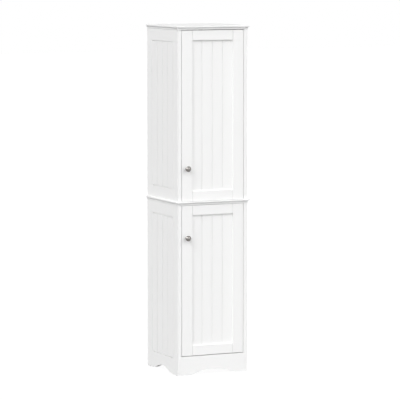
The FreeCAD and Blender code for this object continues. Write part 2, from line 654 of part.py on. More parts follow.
def catch(section, door, level):
    """A magnetic catch on the left side, and the strike that the door carries in front of it."""
    wall = -INNER
    middle = wall + CATCH_WIDTH / 2
    magnet_face = DOOR_BACK + STRIKE_THICKNESS + CATCH_GAP
    body_face = magnet_face + POLE_PROUD
    depth = (body_face, body_face + CATCH_DEPTH)
    ear_reach = CATCH_HEIGHT / 2 + CATCH_EAR
    body = box((wall, wall + CATCH_WIDTH), depth, (level - CATCH_HEIGHT / 2, level + CATCH_HEIGHT / 2))
    ears = box((wall, wall + CATCH_EAR_THICKNESS), depth, (level - ear_reach, level + ear_reach))
    across = (middle - MAGNET_WIDTH / 2, middle + MAGNET_WIDTH / 2)
    high = MAGNET_HEIGHT / 2
    block = box(across, (magnet_face, magnet_face + MAGNET_DEPTH), (level - high, level + high))
    between = box((across[0] - OVERSHOOT, across[1] + OVERSHOOT), (magnet_face - OVERSHOOT, body_face),
                  (level - high + POLE_THICKNESS, level + high - POLE_THICKNESS))
    body = body.fuse(ears).cut(block)
    screw_spread = CATCH_HEIGHT + CATCH_EAR
    for end in (-1, 1):
        seat = Vector(wall + CATCH_EAR_THICKNESS, sum(depth) / 2, level + end * screw_spread / 2)
        add("catch_screws", screw(seat, -RIGHTWARDS))
        hole = rod(seat, -RIGHTWARDS, SCREW_RADIUS, SCREW_LENGTH)
        body = body.cut(hole)
        drill(f"{section}_left_side", hole)
    add(f"{section}_catch", body)
    add("catch_magnets", block.cut(between))

    plate = box((middle - STRIKE_WIDTH / 2, middle + STRIKE_WIDTH / 2),
                (DOOR_BACK, DOOR_BACK + STRIKE_THICKNESS),
                (level - STRIKE_HEIGHT / 2, level + STRIKE_HEIGHT / 2))
    roots = [Vector(middle, DOOR_BACK, level + end * PRONG_SPREAD / 2) for end in (-1, 1)]
    prongs = [rod(root, -BACKWARDS, PRONG_RADIUS, PRONG_LENGTH) for root in roots]
    drill(f"{door}_left_stile", *prongs)
    add(f"{door}_strike", plate.fuse(prongs))


# ---- cup hinges, made round their pivot and then set in place ----

EYE_RADIUS = PIN_RADIUS + PIN_PLAY
CUP_MIDDLE = PIN_FROM_EDGE - CUP_FROM_EDGE - CUP_RADIUS     # cup's axis, from the pivot
CUP_HEIGHT = PIN_DEPTH + CUP_DEPTH                          # its floor to the door's back face
SIDE_FROM_PIN = PIN_FROM_EDGE + DOOR_GAP
ARM_FACE = SIDE_FROM_PIN - PLATE_THICKNESS                  # plate's face, which carries the arm


def tongue_direction():
    """The way out of the cup that stays midway between the mouth's two edges from shut to open."""
    mouth = PIN_DEPTH + FLANGE_THICKNESS
    half_chord = math.sqrt((CUP_RADIUS - CUP_WALL) ** 2 - (TONGUE_WIDTH / 2) ** 2)
    near_edge = Vector(CUP_MIDDLE + half_chord, mouth, 0)
    far_edge = Vector(CUP_MIDDLE - half_chord, mouth, 0)
    swung = FreeCAD.Rotation(UPWARDS, OPEN_ANGLE).multVec(near_edge)
    return (swung + far_edge).normalize()


def arm_centreline():
    """The arm's middle line: out of the cup, round the door's corner and back along the side."""
    outwards = tongue_direction()
    sideways = Vector(outwards.y, -outwards.x, 0)
    corner = math.hypot(PIN_FROM_EDGE, PIN_DEPTH)
    neck = corner + SWEEP_CLEARANCE + ARM_THICKNESS / 2
    bend_reach = math.sqrt((neck - NECK_BEND) ** 2 - NECK_BEND ** 2)
    bend_centre = outwards * bend_reach + sideways * NECK_BEND
    on_neck = bend_centre * (neck / bend_centre.Length)
    first_mid = bend_centre + (on_neck - bend_centre - sideways * NECK_BEND).normalize() * NECK_BEND
    top = Vector(0, neck, 0)
    second_mid = (on_neck + top).normalize() * neck
    along = ARM_FACE - ARM_THICKNESS / 2
    turn_start = Vector(along - ARM_BEND, neck, 0)
    turn_mid = turn_start + Vector(DIAGONAL, 1 - DIAGONAL, 0) * ARM_BEND
    turn_end = Vector(along, neck + ARM_BEND, 0)
    start = outwards * (EYE_RADIUS + EYE_WALL / 2)
    return Part.Wire([
        Part.LineSegment(start, outwards * bend_reach).toShape(),
        Part.Arc(outwards * bend_reach, first_mid, on_neck).toShape(),
        Part.Arc(on_neck, second_mid, top).toShape(),
        Part.LineSegment(top, turn_start).toShape(),
        Part.Arc(turn_start, turn_mid, turn_end).toShape(),
        Part.LineSegment(turn_end, Vector(along, ARM_REACH - ARM_THICKNESS / 2, 0)).toShape(),
    ])


def hinge_arm():
    """The fixed arm: an eye on the pin, a bent tongue and a wide foot on the mounting plate."""
    ribbon = Part.Face(arm_centreline().makeOffset2D(ARM_THICKNESS / 2))
    ribbon = ribbon.extrude(UPWARDS * TONGUE_WIDTH)
    ribbon.translate(-UPWARDS * TONGUE_WIDTH / 2)
    eye_start = Vector(0, 0, -TONGUE_WIDTH / 2)
    eye = rod(eye_start, UPWARDS, EYE_RADIUS + EYE_WALL, TONGUE_WIDTH)
    foot = box((ARM_FACE - ARM_THICKNESS, ARM_FACE), (PLATE_FRONT, ARM_REACH),
               (-ARM_WIDTH / 2, ARM_WIDTH / 2))
    bore = rod(eye_start, UPWARDS, EYE_RADIUS, TONGUE_WIDTH)
    hole = rod(Vector(0, ARM_SCREW_BEHIND, 0), RIGHTWARDS, SCREW_RADIUS + SCREW_PLAY, SIDE_FROM_PIN)
    return ribbon.fuse([eye, foot]).cut([bore, hole])


def mounting_plate():
    """A cross-shaped plate on the side, drilled for its two screws and for the arm's."""
    thickness = (ARM_FACE, SIDE_FROM_PIN)
    cross = (PLATE_SCREW_BEHIND - PLATE_CROSS / 2, PLATE_SCREW_BEHIND + PLATE_CROSS / 2)
    plate = box(thickness, (PLATE_FRONT, PLATE_BACK), (-PLATE_BAR / 2, PLATE_BAR / 2))
    plate = plate.fuse(box(thickness, cross, (-PLATE_HEIGHT / 2, PLATE_HEIGHT / 2)))
    holes = [rod(Vector(0, ARM_SCREW_BEHIND, 0), RIGHTWARDS, SCREW_RADIUS, SIDE_FROM_PIN)]
    for end in (-1, 1):
        start = Vector(0, PLATE_SCREW_BEHIND, end * PLATE_SCREW_SPREAD / 2)
        holes.append(rod(start, RIGHTWARDS, SCREW_RADIUS + SCREW_PLAY, SIDE_FROM_PIN))
    return plate.cut(holes)


def hinge_cup():
    """The cup in the door's back, with its flange and the holes that hold the pin."""
    middle = Vector(CUP_MIDDLE, -CUP_DEPTH, 0)
    seat = Vector(CUP_MIDDLE, PIN_DEPTH, 0)
    half_spread = CUP_SCREW_SPREAD / 2
    cup = rod(middle, BACKWARDS, CUP_RADIUS, CUP_HEIGHT)
    flange = [rod(seat, BACKWARDS, CUP_RADIUS + FLANGE_RIM, FLANGE_THICKNESS),
              box((CUP_MIDDLE - FLANGE_EAR, CUP_MIDDLE + FLANGE_EAR),
                  (PIN_DEPTH, PIN_DEPTH + FLANGE_THICKNESS), (-half_spread, half_spread))]
    inside = rod(middle + BACKWARDS * CUP_WALL, BACKWARDS, CUP_RADIUS - CUP_WALL,
                 CUP_HEIGHT + FLANGE_THICKNESS)
    holes = [inside, rod(Vector(0, 0, -CUP_RADIUS), UPWARDS, PIN_RADIUS, 2 * CUP_RADIUS)]
    for end in (-1, 1):
        ear = seat + UPWARDS * end * half_spread
        flange.append(rod(ear, BACKWARDS, FLANGE_EAR, FLANGE_THICKNESS))
        holes.append(rod(ear, BACKWARDS, SCREW_RADIUS + SCREW_PLAY, FLANGE_THICKNESS))
    return cup.fuse(flange).cut(holes)


def hinge(section, door, end, level):
    """One hinge: cup, pin and screws on the door, arm, plate and screws on the right side."""
    place = PIVOT + UPWARDS * level

    def put(shape):
        moved = shape.copy()
        moved.translate(place)
        return moved

    add(f"{door}_{end}_hinge_cup", put(hinge_cup()))
    half_pin = math.sqrt(CUP_RADIUS ** 2 - (abs(CUP_MIDDLE) + PIN_RADIUS) ** 2)
    add(f"{door}_hinge_pins", put(rod(Vector(0, 0, -half_pin), UPWARDS, PIN_RADIUS, 2 * half_pin)))
    bore_start = Vector(CUP_MIDDLE, PIN_DEPTH + OVERSHOOT, 0)
    for piece in ("right_stile", "panel"):
        drill(f"{door}_{piece}", put(rod(bore_start, -BACKWARDS, CUP_RADIUS, CUP_HEIGHT + OVERSHOOT)))
    for side in (-1, 1):
        seat = Vector(CUP_MIDDLE, PIN_DEPTH + FLANGE_THICKNESS, side * CUP_SCREW_SPREAD / 2)
        add(f"{door}_cup_screws", put(screw(seat, -BACKWARDS)))
        drill(f"{door}_right_stile", put(rod(seat, -BACKWARDS, SCREW_RADIUS, SCREW_LENGTH)))
        seat = Vector(ARM_FACE, PLATE_SCREW_BEHIND, side * PLATE_SCREW_SPREAD / 2)
        add("hinge_plate_screws", put(screw(seat, RIGHTWARDS)))
        drill(f"{section}_right_side", put(rod(seat, RIGHTWARDS, SCREW_RADIUS, SCREW_LENGTH)))
    add(f"{section}_{end}_hinge_arm", put(hinge_arm()))
    add(f"{section}_{end}_hinge_plate", put(mounting_plate()))
    seat = Vector(ARM_FACE - ARM_THICKNESS, ARM_SCREW_BEHIND, 0)
    add("hinge_arm_screws", put(screw(seat, RIGHTWARDS)))
    drill(f"{section}_right_side", put(rod(seat, RIGHTWARDS, SCREW_RADIUS, SCREW_LENGTH)))


def door(section):
    """A framed door on two hinges, with its knob, its catch and its strike."""
    name = f"{section}_door"
    low, high = SECTIONS[section]
    if section == "upper":
        low, high = low + DOOR_GAP_AT_MID_BOARD, high - DOOR_GAP_AT_FAR_END
        near_end, away = low, 1
    else:
        low, high = low + DOOR_GAP_AT_FAR_END, high - DOOR_GAP_AT_MID_BOARD
        near_end, away = high, -1
    knob(name, Vector(KNOB_FROM_EDGE - DOOR_EDGE, FRONT, near_end + away * KNOB_FROM_MID_BOARD))
    catch(section, name, near_end + away * CATCH_FROM_MID_BOARD)
    hinge(section, name, "bottom", low + HINGE_FROM_END)
    hinge(section, name, "top", high - HINGE_FROM_END)
    for side in ("left", "right"):
        stile(name, side, (low, high))
    rail(name, "bottom", (low, low + RAIL_HEIGHT))
    rail(name, "top", (high - RAIL_HEIGHT, high))
    planked_panel(name, (low, high))


def cabinet():
    """Every piece: fastenings first, because they drill the boards that are added last."""
    for side in ("left", "right"):
        join_side_to_board(side, "upper", "top_board", TOP_BOARD_LOW, -UPWARDS, 0)
        join_side_to_board(side, "upper", "mid_board", MID_BOARD_TOP, UPWARDS, JOINT_STAGGER)
        join_side_to_board(side, "lower", "mid_board", MID_BOARD_LOW, -UPWARDS, 0)
        join_deck_to_side(side)
    join_apron()
    foot_glides()
    wall_brackets()
    for section, count in (("upper", UPPER_SHELVES), ("lower", LOWER_SHELVES)):
        for number, level in enumerate(shelf_levels(section, count), 1):
            adjustable_shelf(f"{section}_shelf_{number}", section, level)
        nail_backs(section)
        door(section)
        for side in ("left", "right"):
            add(f"{section}_{side}_side", side_panel(section, side))
        add(f"{section}_back_panel", back_panel(section))
    deck_depth = (FRONT + APRON_THICKNESS, BACK_FACE)
    add("bottom_shelf", box((-INNER, INNER), deck_depth, (DECK_LOW, FLOOR_TO_DECK)))
    add("front_apron", front_apron())
    add("top_board", moulded_board(HEIGHT))
    add("mid_board", moulded_board(MID_BOARD_TOP))


def write():
    """One file per node. Identical fastenings share a node as separate solids."""
    os.makedirs("parts", exist_ok=True)
    for name, solids in sorted(pieces.items()):
        shape = solids[0] if len(solids) == 1 else Part.makeCompound(solids)
        if not shape.isValid():
            raise ValueError(f"{name} is not a valid solid")
        shape.exportStep(f"parts/{name}.step")
        print(name, len(shape.Solids), "solids", round(shape.Volume / 1000, 2), "cm3")


cabinet()
write()
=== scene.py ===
import sys
import json
import logging
import math
from dataclasses import dataclass
from enum import Enum
from typing import Callable, Iterable, Sequence

import bmesh
import bpy
from bmesh.types import BMesh, BMEdge, BMVert
from mathutils import Matrix, Vector


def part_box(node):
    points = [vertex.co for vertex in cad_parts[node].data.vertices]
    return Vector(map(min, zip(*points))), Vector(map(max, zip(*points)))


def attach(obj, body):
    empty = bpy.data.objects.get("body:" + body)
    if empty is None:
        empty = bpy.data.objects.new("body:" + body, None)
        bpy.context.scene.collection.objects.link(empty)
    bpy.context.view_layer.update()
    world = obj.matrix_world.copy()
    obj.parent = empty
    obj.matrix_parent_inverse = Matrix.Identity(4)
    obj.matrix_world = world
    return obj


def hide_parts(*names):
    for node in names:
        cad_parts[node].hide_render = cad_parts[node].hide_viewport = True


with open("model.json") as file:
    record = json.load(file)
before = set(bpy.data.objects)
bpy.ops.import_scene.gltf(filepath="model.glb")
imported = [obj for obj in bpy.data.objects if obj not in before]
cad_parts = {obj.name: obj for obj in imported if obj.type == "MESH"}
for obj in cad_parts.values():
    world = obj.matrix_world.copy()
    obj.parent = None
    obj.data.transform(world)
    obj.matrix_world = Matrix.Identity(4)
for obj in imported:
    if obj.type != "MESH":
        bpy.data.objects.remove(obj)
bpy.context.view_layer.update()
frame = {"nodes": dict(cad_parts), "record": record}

MM = 0.001
WELD = 1e-6         # metres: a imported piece's vertices nearer than this are one
FINE_WELD = 1e-7    # the same for a turned piece
PLACE_DIGITS = 5    # decimals of a place in metres, where places are sorted
ROUND = 0.5         # a bevel's profile, for an arc
LOG = logging.getLogger("cabinet")

Colour = tuple[float, float, float]
Box = tuple[Vector, Vector]
Outline = list[tuple[float, float]]


class Body(Enum):
    """The three bodies that move as one each."""

    CABINET = "cabinet"
    UPPER_DOOR = "upper_door"
    LOWER_DOOR = "lower_door"


class Slot(Enum):
    """The record's material slots."""

    PAINT = "white_paint"
    BACK = "back_board"
    KNOB = "knob_metal"
    STEEL = "steel"
    ZINC = "zinc"
    BEECH = "beech"
    GLIDE = "glide_plastic"
    CATCH = "catch_plastic"
    MAGNET = "magnet"


# ---- node graphs ----

# how many octaves a noise has
EVEN = 1.5
PLAIN = 2.0
UNEVEN = 3.0
RICH = 4.0


class Graph:
    """A material's node tree, with short calls for the nodes that the finishes share."""

    def __init__(self, name: str) -> None:
        """Starts a material with a Principled shader.

        Args:
            name: the material's name.
        """
        self.material = bpy.data.materials.new(name)
        self.material.use_nodes = True
        self.tree = self.material.node_tree
        self.shader = self.tree.nodes["Principled BSDF"]
        self.place = self.tree.nodes.new("ShaderNodeTexCoord").outputs["Object"]

    def node(self, kind: str, **values: object) -> bpy.types.Node:
        """Adds a node.

        Args:
            kind: the node's type, without its ShaderNode prefix.
            values: properties of the node, such as operation.

        Returns:
            The new node.
        """
        made = self.tree.nodes.new("ShaderNode" + kind)
        for key, value in values.items():
            setattr(made, key, value)
        return made

    def feed(self, socket: bpy.types.NodeSocket, value: object) -> None:
        """Gives a socket another socket's output, or a plain value.

        Args:
            socket: the input that gets it.
            value: the output socket or the plain value.
        """
        if isinstance(value, bpy.types.NodeSocket):
            self.tree.links.new(value, socket)
        else:
            socket.default_value = value

    def set(self, **values: object) -> None:
        """Gives the shader's inputs their values. An underscore stands for a space."""
        for key, value in values.items():
            self.feed(self.shader.inputs[key.replace("_", " ")], value)

    def mapped(self, scale: Sequence[float] = (1, 1, 1),
               centre: Sequence[float] = (0, 0, 0)) -> bpy.types.NodeSocket:
        """Object coordinates, moved so that a centre is the origin and then stretched.

        Args:
            scale: factor along each axis.
            centre: the point that becomes the origin, in metres.

        Returns:
            The vector's socket.
        """
        shift = self.node("VectorMath", operation="SUBTRACT")
        self.feed(shift.inputs[0], self.place)
        self.feed(shift.inputs[1], tuple(centre))
        grow = self.node("VectorMath", operation="MULTIPLY")
        self.feed(grow.inputs[0], shift.outputs[0])
        self.feed(grow.inputs[1], tuple(scale))
        return grow.outputs[0]

    def noise(self, vector: bpy.types.NodeSocket, scale: float = 1.0,
              detail: float = PLAIN) -> bpy.types.NodeSocket:
        """A noise value from 0 to 1.

        Args:
            vector: where it is read.
            scale: features in a metre, where the vector isn't stretched.
            detail: octaves.

        Returns:
            The value's socket.
        """
        made = self.node("TexNoise")
        self.feed(made.inputs["Vector"], vector)
        self.feed(made.inputs["Scale"], scale)
        self.feed(made.inputs["Detail"], detail)
        return made.outputs["Fac"]

    def between(self, value: bpy.types.NodeSocket, low: float, high: float,
                start: float = 0.0, end: float = 1.0) -> bpy.types.NodeSocket:
        """Spreads a value from one range over another.

        Args:
            value: the socket that is read.
            low: result at start.
            high: result at end.
            start: the value that gives low.
            end: the value that gives high.

        Returns:
            The result's socket.
        """
        made = self.node("MapRange")
        for key, number in (("From Min", start), ("From Max", end), ("To Min", low), ("To Max", high)):
            self.feed(made.inputs[key], number)
        self.feed(made.inputs["Value"], value)
        return made.outputs["Result"]

    def blend(self, share: bpy.types.NodeSocket, first: object, second: object) -> bpy.types.NodeSocket:
        """Mixes two colours.

        Args:
            share: the second colour's part, from 0 to 1.
            first: a colour or a socket.
            second: a colour or a socket.

        Returns:
            The mixed colour's socket.
        """
        made = self.node("Mix", data_type="RGBA")
        self.feed(made.inputs["Factor"], share)
        for socket, value in ((made.inputs["A"], first), (made.inputs["B"], second)):
            self.feed(socket, (*value, 1.0) if isinstance(value, tuple) else value)
        return made.outputs["Result"]

    def math(self, operation: str, first: object, second: object = 0.0) -> bpy.types.NodeSocket:
        """One step of arithmetic.

        Args:
            operation: the step's name in the Math node.
            first: a number or a socket.
            second: a number or a socket.

        Returns:
            The result's socket.
        """
        made = self.node("Math", operation=operation)
        self.feed(made.inputs[0], first)
        self.feed(made.inputs[1], second)
        return made.outputs[0]

    def axis(self, vector: bpy.types.NodeSocket, name: str) -> bpy.types.NodeSocket:
        """One part of a vector.

        Args:
            vector: the vector's socket.
            name: X, Y or Z.

        Returns:
            The part's socket.
        """
        made = self.node("SeparateXYZ")
        self.feed(made.inputs[0], vector)
        return made.outputs[name]

    def bump(self, height: bpy.types.NodeSocket, depth: float, strength: float = 1.0) -> None:
        """Roughens the surface by a height map.

        Args:
            height: the map, from 0 to 1.
            depth: what 1 stands for, in metres.
            strength: share of the effect.
        """
        made = self.node("Bump")
        self.feed(made.inputs["Height"], height)
        self.feed(made.inputs["Distance"], depth)
        self.feed(made.inputs["Strength"], strength)
        self.feed(self.shader.inputs["Normal"], made.outputs[0])


# ---- finishes ----


def shade(colour: Colour, factor: float) -> Colour:
    """A colour made lighter or darker by a factor."""
    return tuple(min(1.0, part * factor) for part in colour)


@dataclass(frozen=True)
class Surface:
    """A surface with patches in its tone, a sheen that varies and a fine grain.

    The octaves are those of the patches, the sheen and the grain.
    """

    name: str
    colour: Colour
    tone: float = 0.9
    patches_per_metre: float = 160.0
    roughness: tuple[float, float] = (0.22, 0.36)
    sheen_per_metre: float = 420.0
    grain_per_metre: float = 2500.0
    grain_depth: float = 0.006 * MM
    relief: float = 0.6
    metallic: float = 0.0
    ior: float = 1.5
    octaves: tuple[float, float, float] = (PLAIN, PLAIN, PLAIN)

    def material(self) -> bpy.types.Material:
        """Builds the surface.

        Returns:
            Its material.
        """
        graph = Graph(self.name)
        scales = (self.patches_per_metre, self.sheen_per_metre, self.grain_per_metre)
        patches, sheen, grain = (graph.noise(graph.place, *pair) for pair in zip(scales, self.octaves))
        graph.set(Base_Color=graph.blend(patches, shade(self.colour, self.tone), self.colour),
                  Roughness=graph.between(sheen, *self.roughness), Metallic=self.metallic, IOR=self.ior)
        graph.bump(grain, self.grain_depth, self.relief)
        return graph.material


@dataclass(frozen=True)
class SatinPaint(Surface):
    """White satin paint, sprayed on fibreboard: nearly even, with a trace of orange peel."""

    colour: Colour = (0.905, 0.905, 0.902)
    tone: float = 0.985
    patches_per_metre: float = 4.0
    roughness: tuple[float, float] = (0.5, 0.6)
    sheen_per_metre: float = 30.0
    grain_per_metre: float = 520.0
    grain_depth: float = 0.05 * MM
    relief: float = 0.5
    ior: float = 1.46
    octaves: tuple[float, float, float] = (RICH, UNEVEN, EVEN)


@dataclass(frozen=True)
class Metal(Surface):
    """Plated or cast metal, or pressed ferrite, which isn't metallic: a little dirt, and a fine grain."""

    metallic: float = 1.0
    octaves: tuple[float, float, float] = (UNEVEN, UNEVEN, PLAIN)


@dataclass(frozen=True)
class Plastic(Surface):
    """Moulded plastic with a fine eroded texture."""

    tone: float = 0.95
    patches_per_metre: float = 60.0
    roughness: tuple[float, float] = (0.42, 0.55)
    sheen_per_metre: float = 300.0
    grain_per_metre: float = 1800.0
    grain_depth: float = 0.03 * MM


@dataclass(frozen=True)
class ThinBoard:
    """Thin fibreboard: white foil on its front face, bare brown fibres on its rear face.

    The board is brown behind the level turn_at on the Y axis.
    """

    name: str
    turn_at: float
    foil: Colour = (0.87, 0.87, 0.86)
    fibre: Colour = (0.36, 0.235, 0.14)
    dark_fibre: Colour = (0.22, 0.135, 0.075)
    fibres_per_metre: tuple[float, float, float] = (900.0, 900.0, 260.0)
    specks: tuple[float, float] = (0.3, 0.75)
    blotches_per_metre: float = 9.0
    blotch_share: float = 0.35
    blotch_tone: float = 1.35
    roughness: tuple[float, float] = (0.42, 0.8)
    fibre_depth: float = 0.12 * MM
    relief: float = 0.6

    def material(self) -> bpy.types.Material:
        """Builds the board's two faces.

        Returns:
            The board's material.
        """
        graph = Graph(self.name)
        fibres = graph.noise(graph.mapped(self.fibres_per_metre), detail=RICH)
        blotches = graph.noise(graph.place, self.blotches_per_metre, UNEVEN)
        bare = graph.blend(graph.between(fibres, 0.0, 1.0, *self.specks), self.dark_fibre, self.fibre)
        bare = graph.blend(graph.between(blotches, 0.0, self.blotch_share), bare,
                           shade(self.fibre, self.blotch_tone))
        behind = graph.math("GREATER_THAN", graph.axis(graph.place, "Y"), self.turn_at)
        graph.set(Base_Color=graph.blend(behind, self.foil, bare))
        graph.set(Roughness=graph.between(behind, *self.roughness))
        graph.bump(fibres, self.fibre_depth, self.relief)
        return graph.material


@dataclass(frozen=True)
class Beech:
    """Plain beech with short dark flecks along the grain, which runs along X."""

    name: str
    pale: Colour = (0.62, 0.43, 0.27)
    fleck: Colour = (0.4, 0.24, 0.13)
    grain_per_metre: tuple[float, float, float] = (60.0, 900.0, 900.0)
    flecks: tuple[float, float] = (0.4, 0.8)
    roughness: tuple[float, float] = (0.5, 0.7)
    grain_depth: float = 0.1 * MM
    relief: float = 0.5

    def material(self) -> bpy.types.Material:
        """Builds the wood.

        Returns:
            The wood's material.
        """
        graph = Graph(self.name)
        grain = graph.noise(graph.mapped(self.grain_per_metre), detail=RICH)
        flecks = graph.between(grain, 0.0, 1.0, *self.flecks)
        graph.set(Base_Color=graph.blend(flecks, self.pale, self.fleck))
        graph.set(Roughness=graph.between(grain, *self.roughness))
        graph.bump(grain, self.grain_depth, self.relief)
        return graph.material


@dataclass(frozen=True)
class TurnedMetal:
    """Dark satin metal with the fine rings that a lathe and a polishing wheel leave round its axis.

    The axis runs along Y through the centre.
    """

    name: str
    centre: tuple[float, float, float]
    colour: Colour = (0.235, 0.225, 0.215)
    tone: float = 0.8
    patches_per_metre: float = 220.0
    roughness: tuple[float, float] = (0.2, 0.32)
    rings_per_metre: float = 2600.0
    ring_depth: float = 0.012 * MM
    relief: float = 0.5

    def material(self) -> bpy.types.Material:
        """Builds the metal.

        Returns:
            The metal's material.
        """
        graph = Graph(self.name)
        radius = graph.node("VectorMath", operation="LENGTH")
        graph.feed(radius.inputs[0], graph.mapped((1, 0, 1), self.centre))
        rings = graph.node("TexNoise", noise_dimensions="1D")
        graph.feed(rings.inputs["W"], radius.outputs["Value"])
        graph.feed(rings.inputs["Scale"], self.rings_per_metre)
        graph.feed(rings.inputs["Detail"], PLAIN)
        patches = graph.noise(graph.place, self.patches_per_metre, UNEVEN)
        graph.set(Base_Color=graph.blend(patches, shade(self.colour, self.tone), self.colour))
        graph.set(Metallic=1.0)
        graph.set(Roughness=graph.between(rings.outputs["Fac"], *self.roughness))
        graph.bump(rings.outputs["Fac"], self.ring_depth, self.relief)
        return graph.material


class Finishes:
    """Every finish of the cabinet, made once and handed out by slot."""

    def __init__(self) -> None:
        """Builds the materials. The knobs' turned metal is made with them, so their slot has plain steel."""
        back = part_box("upper_back_panel")
        steel = Metal("nickel-plated steel", (0.66, 0.65, 0.63))
        zinc = Metal("cast zinc", (0.52, 0.52, 0.53), roughness=(0.38, 0.52), grain_per_metre=1500.0,
                     grain_depth=0.04 * MM)
        ferrite = Metal("ferrite", (0.035, 0.035, 0.038), roughness=(0.5, 0.65), grain_per_metre=1800.0,
                        grain_depth=0.05 * MM, tone=0.7, metallic=0.0)
        self.by_slot: dict[Slot, bpy.types.Material] = {
            Slot.PAINT: SatinPaint("satin white paint").material(),
            Slot.BACK: ThinBoard("foiled hardboard", (back[0].y + back[1].y) / 2).material(),
            Slot.STEEL: steel.material(),
            Slot.ZINC: zinc.material(),
            Slot.BEECH: Beech("beech").material(),
            Slot.GLIDE: Plastic("grey glide plastic", (0.3, 0.29, 0.28)).material(),
            Slot.CATCH: Plastic("white catch plastic", (0.8, 0.8, 0.78)).material(),
            Slot.MAGNET: ferrite.material(),
        }
        self.by_slot[Slot.KNOB] = self.by_slot[Slot.STEEL]

    def of_node(self, node: str) -> bpy.types.Material:
        """The finish that the record gives a node."""
        slots = {part["node"]: part["material_slot"] for part in frame["record"]["subparts"]}
        return self.by_slot[Slot(slots[node])]

    def dress_frame(self) -> None:
        """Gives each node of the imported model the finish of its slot."""
        for name, node in frame["nodes"].items():
            node.data.materials.clear()
            node.data.materials.append(self.of_node(name))


# ---- mesh helpers ----


def finished(name: str, mesh: BMesh, body: Body, slot: Slot, material: bpy.types.Material,
             replaced: Iterable[str] = (), sharp: float = 35.0) -> None:
    """Turns a bmesh into a piece of the cabinet.

    Args:
        name: the piece's name.
        mesh: its geometry, in place. It is freed.
        body: the body that it rides on.
        slot: the record's slot for the piece. It is not used.
        material: its finish.
        replaced: nodes that it stands for.
        sharp: edges that turn by more than this many degrees stay sharp.
    """
    data = bpy.data.meshes.new(name)
    mesh.to_mesh(data)
    mesh.free()
    data.shade_smooth()
    data.set_sharp_from_angle(angle=math.radians(sharp))
    data.materials.append(material)
    piece = bpy.data.objects.new(name, data)
    bpy.context.scene.collection.objects.link(piece)
    weighted = piece.modifiers.new("flat faces stay flat", "WEIGHTED_NORMAL")
    weighted.keep_sharp = True
    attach(piece, body.value)
    if replaced:
        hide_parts(*replaced)
    LOG.info("%s: %d faces on %s", name, len(data.polygons), body.value)


def merged(node: str) -> BMesh:
    """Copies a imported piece's mesh and joins its loose triangles.

    Args:
        node: the piece's node.

    Returns:
        The joined copy.
    """
    mesh = bmesh.new()
    mesh.from_mesh(frame["nodes"][node].data)
    bmesh.ops.remove_doubles(mesh, verts=mesh.verts, dist=WELD)
    return mesh


def islands(node: str) -> list[Box]:
    """Finds the separate solids in a node.

    Args:
        node: the node that holds them.

    Returns:
        The lowest and highest corner of each, always in the same order.
    """
    mesh = merged(node)
    left = set(mesh.verts)
    boxes = []
    while left:
        queue = [left.pop()]
        found = []
        while queue:
            vert = queue.pop()
            found.append(vert.co.copy())
            fresh = {edge.other_vert(vert) for edge in vert.link_edges} & left
            left -= fresh
            queue.extend(fresh)
        boxes.append((Vector(map(min, *found)), Vector(map(max, *found))))
    mesh.free()
    return sorted(boxes, key=lambda box: [round(part, PLACE_DIGITS) for part in box[0]])


def stamped(pattern: BMesh, places: Iterable[Matrix]) -> BMesh:
    """Copies of one shape in one mesh.

    Args:
        pattern: the shape. It is freed.
        places: where each copy goes.

    Returns:
        The mesh of all copies.
    """
    data = bpy.data.meshes.new("pattern")
    pattern.to_mesh(data)
    pattern.free()
    mesh = bmesh.new()
    for place in places:
        count = len(mesh.verts)
        mesh.from_mesh(data)
        mesh.verts.ensure_lookup_table()
        bmesh.ops.transform(mesh, matrix=place, verts=mesh.verts[count:])
    bpy.data.meshes.remove(data)
    return mesh


def turned(profile: Outline, segments: int) -> BMesh:
    """A round piece.

    Args:
        profile: radius and level of each point of its outline.
        segments: faces round it.

    Returns:
        The outline, spun round the Z axis.
    """
    mesh = bmesh.new()
    verts = [mesh.verts.new((radius, 0.0, level)) for radius, level in profile]
    edges = [mesh.edges.new(pair) for pair in zip(verts, verts[1:])]
    bmesh.ops.spin(mesh, geom=verts + edges, cent=(0, 0, 0), axis=(0, 0, 1), angle=2 * math.pi,
                   steps=segments, use_merge=True)
    bmesh.ops.remove_doubles(mesh, verts=mesh.verts, dist=FINE_WELD)
    bmesh.ops.recalc_face_normals(mesh, faces=mesh.faces)
    return mesh


def block(low: Vector, high: Vector, soft: float, steps: int = 2) -> BMesh:
    """A block with rounded edges.

    Args:
        low: its lowest corner.
        high: its highest corner.
        soft: radius of the edges.
        steps: faces across each edge.

    Returns:
        The block's mesh.
    """
    mesh = bmesh.new()
    bmesh.ops.create_cube(mesh, size=1.0)
    bmesh.ops.scale(mesh, vec=high - low, verts=mesh.verts)
    bmesh.ops.translate(mesh, vec=(low + high) / 2, verts=mesh.verts)
    bmesh.ops.bevel(mesh, geom=mesh.edges[:], offset=soft, affect="EDGES", segments=steps, profile=ROUND,
                    material=-1)
    return mesh


def joined(meshes: Sequence[BMesh]) -> BMesh:
    """Joins several shapes.

    Args:
        meshes: the shapes. The first one takes in the others, which are freed.

    Returns:
        The first mesh.
    """
    whole = meshes[0]
    for mesh in meshes[1:]:
        data = bpy.data.meshes.new("part")
        mesh.to_mesh(data)
        mesh.free()
        whole.from_mesh(data)
        bpy.data.meshes.remove(data)
    return whole


def new_verts(result: dict) -> list[BMVert]:
    """The vertices that an operator made."""
    return [part for part in result["geom"] if isinstance(part, BMVert)]


def ring_out(mesh: BMesh, ring: list[BMEdge], place: Callable[[Vector], Vector]) -> list[BMEdge]:
    """Extrudes a loop of edges and puts each new vertex where a function says.

    Args:
        mesh: the bmesh.
        ring: the closed loop that is extruded.
        place: gives the new place of a vertex from its old one.

    Returns:
        The new loop.
    """
    result = bmesh.ops.extrude_edge_only(mesh, edges=ring)
    fresh = set(new_verts(result))
    for vert in fresh:
        vert.co = place(vert.co.copy())
    return [part for part in result["geom"] if isinstance(part, BMEdge) and fresh.issuperset(part.verts)]


